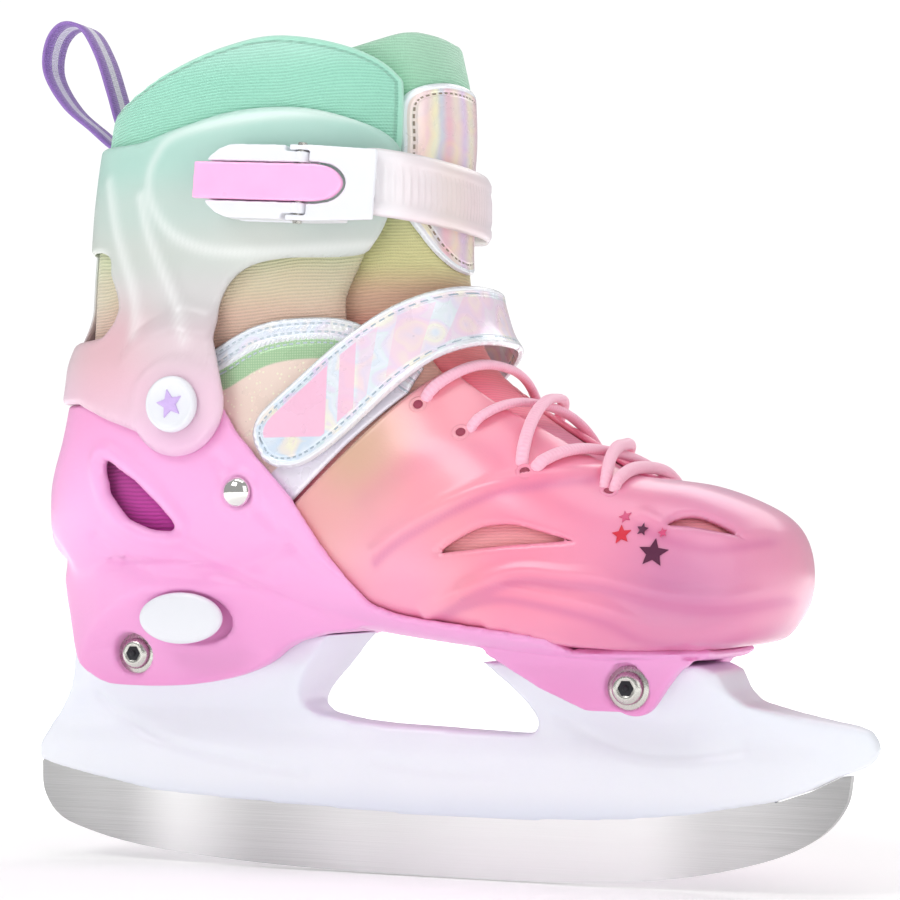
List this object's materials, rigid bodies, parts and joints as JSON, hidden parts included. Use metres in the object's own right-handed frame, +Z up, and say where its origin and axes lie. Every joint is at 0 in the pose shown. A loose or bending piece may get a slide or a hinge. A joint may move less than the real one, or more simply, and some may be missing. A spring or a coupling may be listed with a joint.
{
  "type": "ice skate",
  "caption": "Adjustable recreational ice skate with a steel blade, moulded holder and shells, hinged cuff with ratchet buckle, padded liner, laces and instep strap.",
  "frame": {"origin": "on the blade's running edge, at the blade's centre plane, on the flat middle stretch of the edge", "axes": "+X to the toe, +Y to the inner side of the right foot, +Z up"},
  "size_m": [0.3029, 0.1077, 0.2976],
  "materials": {
    "blade_steel": "ground and polished along its length",
    "fitting_steel": "bright zinc plated",
    "chrome_dome": "polished",
    "white_plastic": "satin moulded",
    "pink_plastic": "satin moulded, pink with a lilac shade",
    "toe_plastic": "satin moulded, peach running to orchid and pink",
    "cuff_plastic": "frosted, slightly translucent",
    "tab_plastic": "satin moulded, pink",
    "strap_plastic": "translucent white",
    "rack_plastic": "dark moulded",
    "collar_fabric": "ribbed knit, mint",
    "liner_fabric": "knit, peach",
    "heel_fabric": "ribbed knit, purple",
    "tongue_fabric": "ribbed knit, mint running to olive yellow",
    "footbed_foam": "felt over foam",
    "panel_sheet": "pearly coated synthetic leather with mesh",
    "shiny_sheet": "iridescent coated synthetic leather",
    "lace_cord": "braided cord, light pink",
    "loop_webbing": "woven webbing, purple with a pale stripe"
  },
  "bodies": {
    "chassis": {"blade": "blade_steel", "blade_holder": "white_plastic", "heel_shell": "pink_plastic", "rear_bolt": "fitting_steel", "rear_nut": "fitting_steel", "rear_washer_outer": "fitting_steel", "rear_washer_inner": "fitting_steel", "rear_sleeve": "fitting_steel", "front_bolt": "fitting_steel", "front_nut": "fitting_steel", "front_washer_outer": "fitting_steel", "front_washer_inner": "fitting_steel", "front_sleeve": "fitting_steel", "liner_heel": "heel_fabric", "star_cap_outer": "white_plastic", "star_cap_inner": "white_plastic", "ankle_rivet_outer": "fitting_steel", "ankle_rivet_inner": "fitting_steel", "dome_rivet_outer": "chrome_dome", "dome_rivet_inner": "chrome_dome"},
    "toe_part": {"toe_shell": "toe_plastic", "lace_bottom_row": "lace_cord", "lace_cross_1_under": "lace_cord", "lace_cross_1_over": "lace_cord", "lace_cross_2_under": "lace_cord", "lace_cross_2_over": "lace_cord", "lace_top_span": "lace_cord", "instep_strap": "shiny_sheet", "quarter_panel_outer": "panel_sheet", "quarter_panel_inner": "panel_sheet", "tongue_lower": "tongue_fabric", "liner_toe_sole": "liner_fabric", "liner_toe_outer": "liner_fabric", "liner_toe_inner": "liner_fabric", "footbed": "footbed_foam", "size_rack": "rack_plastic", "rack_screw": "fitting_steel"},
    "size_button_body": {"size_button": "white_plastic", "size_button_spring": "fitting_steel"},
    "cuff_part": {"cuff": "cuff_plastic", "liner_collar": "collar_fabric", "tongue_upper": "tongue_fabric", "tongue_tab": "shiny_sheet", "pull_loop": "loop_webbing", "buckle_base": "white_plastic", "buckle_rivet": "fitting_steel", "lever_pin": "fitting_steel"},
    "lever": {"buckle_lever": "white_plastic"},
    "tab": {"release_tab": "tab_plastic"},
    "strap": {"buckle_strap": "strap_plastic", "strap_rivet": "fitting_steel"}
  },
  "joints": [
    {"name": "size_slide", "type": "slide", "parent": "chassis", "child": "toe_part", "axis": [1, 0, 0], "range_m": [0, 0.02]},
    {"name": "size_button_press", "type": "slide", "parent": "chassis", "child": "size_button_body", "axis": [0, 1, 0], "range_m": [0, 0.0025], "stiffness_N_per_m": 400},
    {"name": "cuff_lean", "type": "hinge", "parent": "chassis", "child": "cuff_part", "pos_m": [-0.07, 0, 0.156], "axis": [0, 1, 0], "range_deg": [-3, 7]},
    {"name": "buckle_lever_turn", "type": "hinge", "parent": "cuff_part", "child": "lever", "pos_m": [-0.02077, -0.0521, 0.2255], "axis": [0.0784, 0.0027, 0.9969], "range_deg": [0, 40]},
    {"name": "release_tab_turn", "type": "hinge", "parent": "lever", "child": "tab", "pos_m": [-0.02077, -0.0521, 0.2255], "axis": [0.0784, 0.0027, 0.9969], "range_deg": [0, 12], "stiffness_Nm_per_rad": 0.02},
    {"name": "buckle_strap_swing", "type": "hinge", "parent": "cuff_part", "child": "strap", "pos_m": [-0.034, 0.046, 0.226], "axis": [0, 0, 1], "range_deg": [0, 45]}
  ]
}
